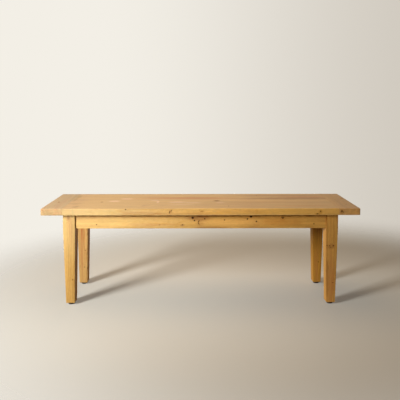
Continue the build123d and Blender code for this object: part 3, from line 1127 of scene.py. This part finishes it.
for seed, side in enumerate(("front", "rear", "left", "right"), start=13):
    low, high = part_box("rail_" + side)
    if side in ("front", "rear"):
        grain, axis_along = "X", 0
    else:
        grain, axis_along = "Y", 1
    low[axis_along] = leg_high[axis_along]
    high[axis_along] = -leg_high[axis_along]
    rail = start_block("waxed_rail_" + side, low, high)
    for axis in range(3):
        cut_lengths(rail, axis, wear_step)
    pick_edges(
        rail,
        lambda middle, direction: abs(direction[axis_along]) > along and middle.z < low.z + tiny,
    )
    round_picked(rail, rail_arris)
    wear(rail, rail_hollow, rail_arris_loss)
    sink(rail, rail_flaws[side])
    waxed_pine = pine(
        "waxed_pine_rail_" + side,
        grain=grain,
        heart=rail_hearts[side],
        lean=0.008,
        early="#cfa154",
        late="#a97031",
        seed=seed,
        knots=rail_knots[side],
        flaws=rail_flaws[side],
        marks=rail_marks[side],
    )
    hand_over(rail, waxed_pine, "rail_" + side)

# Centre rail and corner blocks
# Sawn pine that braces the frame from inside, glued and screwed in place and left bare, so it
# is pale and dull. It shows only from below, and the CAD nodes' shapes are kept.
bare_early = "#e3c496"
bare_late = "#c79a63"
bare_pine = pine(
    "bare_pine",
    grain="X",
    heart=(0, 60, 300),
    lean=0.01,
    early=bare_early,
    late=bare_late,
    seed=20,
)
bare_cross_pine = pine(
    "bare_cross_pine",
    grain="Y",
    heart=(30, 0, 330),
    lean=0.01,
    early=bare_early,
    late=bare_late,
    seed=21,
)
for corner in corners:
    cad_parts["corner_block_" + corner].material_slots[0].material = bare_pine
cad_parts["centre_rail"].material_slots[0].material = bare_cross_pine

# Buttons, pegs and biscuits
# Small beech pieces, sawn and pressed: buttons that hold the seat to the rails, pegs through
# its tenons and biscuits in its seams. Bare beech is close-grained and pinkish, with short
# darker flecks, drawn here at 4 by 0.9 millimetres.
fleck_length = 4 * mm
fleck_width = 0.9 * mm
beech, tree = start_material("bare_beech")
place = add_node(tree, "ShaderNodeTexCoord").outputs["Object"]
fleck_place = add_node(
    tree,
    "ShaderNodeVectorMath",
    {"operation": "DIVIDE"},
    {0: place, 1: (fleck_length, fleck_width, fleck_width)},
)
flecks = add_node(
    tree, "ShaderNodeTexNoise", inputs={"Vector": fleck_place, "Scale": 1.0, "Detail": 2.0}
)
fleck_share = add_node(
    tree, "ShaderNodeMapRange", inputs={"Value": flecks, "From Min": 0.35, "From Max": 0.75}
)
beech_tone = lay_over(tree, colour("#dcb68c"), fleck_share, colour("#b98a5c"))
surface = add_node(
    tree,
    "ShaderNodeBsdfPrincipled",
    inputs={"Base Color": beech_tone, "Roughness": 0.6, "IOR": 1.5},
)
add_node(tree, "ShaderNodeOutputMaterial", inputs={"Surface": surface})
for name in ("seat_buttons", "end_board_pegs", "seat_biscuits"):
    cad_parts[name].material_slots[0].material = beech

# Screws and nails
# Countersunk wood screws and one nail through each glide, turned and headed from steel wire.
# Their zinc plating is a pale grey metal with a faint cloudiness from the plating bath.
cloud_size = 1.4 * mm
zinc, tree = start_material("zinc_plated_steel")
place = add_node(tree, "ShaderNodeTexCoord").outputs["Object"]
cloud = add_node(
    tree, "ShaderNodeTexNoise", inputs={"Vector": place, "Scale": 1 / cloud_size, "Detail": 2.0}
)
dullness = add_node(
    tree, "ShaderNodeMapRange", inputs={"Value": cloud, "To Min": 0.25, "To Max": 0.5}
)
plate = lay_over(tree, colour("#c9ccd0"), cloud, colour("#a9aba9"))
surface = add_node(
    tree,
    "ShaderNodeBsdfPrincipled",
    inputs={"Base Color": plate, "Metallic": 1.0, "Roughness": dullness},
)
add_node(tree, "ShaderNodeOutputMaterial", inputs={"Surface": surface})
for name in ("seat_button_screws", "corner_block_screws", "centre_rail_screws", "glide_nails"):
    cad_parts[name].material_slots[0].material = zinc

# Glides
# Dark brown moulded plastic discs with a rounded rim, one nailed under each foot. The mould
# leaves a fine grain of about a millimetre, which keeps their gloss soft.
mould_grain = 1.1 * mm
plastic, tree = start_material("moulded_brown_plastic")
place = add_node(tree, "ShaderNodeTexCoord").outputs["Object"]
pits = add_node(
    tree, "ShaderNodeTexNoise", inputs={"Vector": place, "Scale": 1 / mould_grain, "Detail": 2.0}
)
tone = lay_over(tree, colour("#2a1807"), pits, colour("#1d1105"))
bump = add_node(
    tree, "ShaderNodeBump", inputs={"Height": pits, "Strength": 0.3, "Distance": 0.1 * mm}
)
surface = add_node(
    tree,
    "ShaderNodeBsdfPrincipled",
    inputs={"Base Color": tone, "Roughness": 0.45, "Normal": bump},
)
add_node(tree, "ShaderNodeOutputMaterial", inputs={"Surface": surface})

glide_sides = 64
rim_radius = 1.8 * mm
rim_steps = 5
top_edge_radius = 0.4 * mm
top_edge_steps = 2
for corner in corners:
    low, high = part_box("glide_" + corner)
    bpy.ops.object.select_all(action="DESELECT")
    bpy.ops.mesh.primitive_cylinder_add(
        vertices=glide_sides,
        radius=(high.x - low.x) / 2,
        depth=high.z - low.z,
        location=(low + high) / 2,
    )
    bpy.ops.object.transform_apply()
    glide = bpy.context.object
    glide.name = "moulded_glide_" + corner
    glide.data.name = glide.name
    bpy.ops.object.mode_set(mode="EDIT")
    bpy.ops.mesh.select_mode(type="EDGE")
    for edge_level, radius, steps in (
        (low.z, rim_radius, rim_steps),
        (high.z, top_edge_radius, top_edge_steps),
    ):
        pick_edges(glide, lambda middle, direction: abs(middle.z - edge_level) < tiny)
        bpy.ops.mesh.bevel(offset=radius, segments=steps, affect="EDGES")
    bpy.ops.object.mode_set(mode="OBJECT")
    hand_over(glide, plastic, "glide_" + corner)
